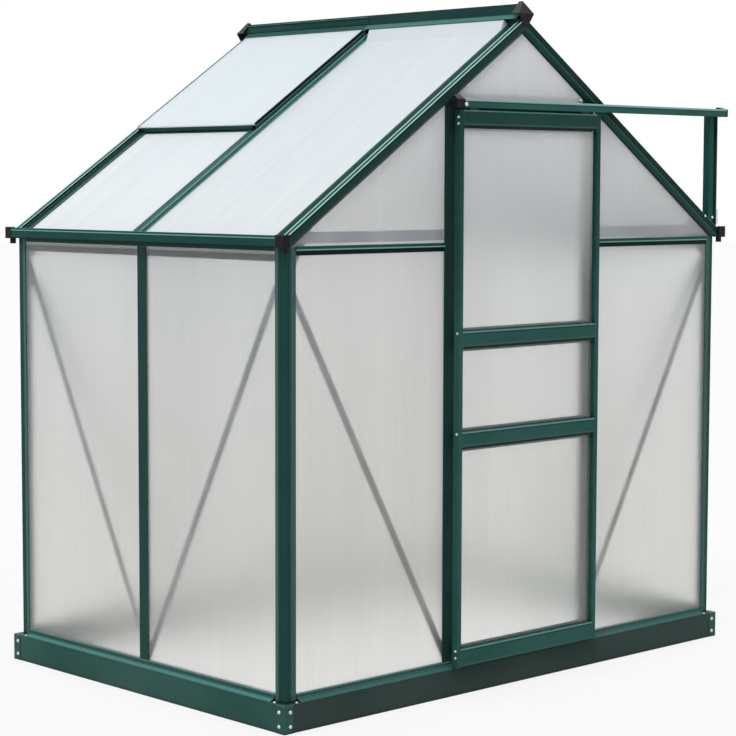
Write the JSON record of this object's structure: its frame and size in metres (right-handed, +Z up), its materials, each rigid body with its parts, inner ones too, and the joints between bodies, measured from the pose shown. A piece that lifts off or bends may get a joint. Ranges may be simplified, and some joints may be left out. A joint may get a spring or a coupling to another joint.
{
  "type": "walk-in greenhouse",
  "caption": "Small green-framed greenhouse with frosted twin-wall sheets, a steel base, gutters, a closed roof vent and a sliding door in the gable.",
  "frame": {"origin": "centre of the base frame on the ground", "axes": "+X along the front gable in the direction the door opens, +Y from the door to the back gable, +Z up"},
  "size_m": [1.923, 1.328, 2.029],
  "materials": {
    "frame_green": "satin powder coat",
    "base_green": "satin powder coat",
    "twin_wall": "frosted twin-wall sheet",
    "zinc": "galvanised",
    "black_plastic": "moulded"
  },
  "bodies": {
    "house": {"base_front": "base_green", "base_back": "base_green", "base_left": "base_green", "base_right": "base_green", "base_corners": "base_green", "sill_front": "frame_green", "sill_back": "frame_green", "side_sills": "frame_green", "corner_posts": "frame_green", "side_posts": "frame_green", "door_posts": "frame_green", "back_posts": "frame_green", "gutter_left": "frame_green", "gutter_right": "frame_green", "gutter_end_caps": "black_plastic", "eave_left": "frame_green", "eave_right": "frame_green", "gable_rails_front": "frame_green", "gable_rails_back": "frame_green", "door_header": "frame_green", "rafters_front": "frame_green", "rafters_back": "frame_green", "roof_bars": "frame_green", "ridge_beam": "frame_green", "ridge_caps": "black_plastic", "side_sheets_left": "twin_wall", "side_sheets_right": "twin_wall", "gable_sheets_front": "twin_wall", "gable_sheets_back": "twin_wall", "roof_sheets_left": "twin_wall", "roof_sheets_right": "twin_wall", "vent_sill": "frame_green", "vent_hinge": "frame_green", "vent_frame": "frame_green", "vent_sheet": "twin_wall", "wall_braces": "zinc", "gusset_plates": "zinc", "door_track": "frame_green", "track_stops": "black_plastic", "track_support": "frame_green"},
    "door": {"door_stiles": "frame_green", "door_rails": "frame_green", "door_sheets": "twin_wall", "door_rollers": "black_plastic", "door_guides": "zinc"}
  },
  "joints": [
    {"name": "door_slide", "type": "slide", "parent": "house", "child": "door", "axis": [1, 0, 0], "range_m": [0, 0.61]}
  ]
}
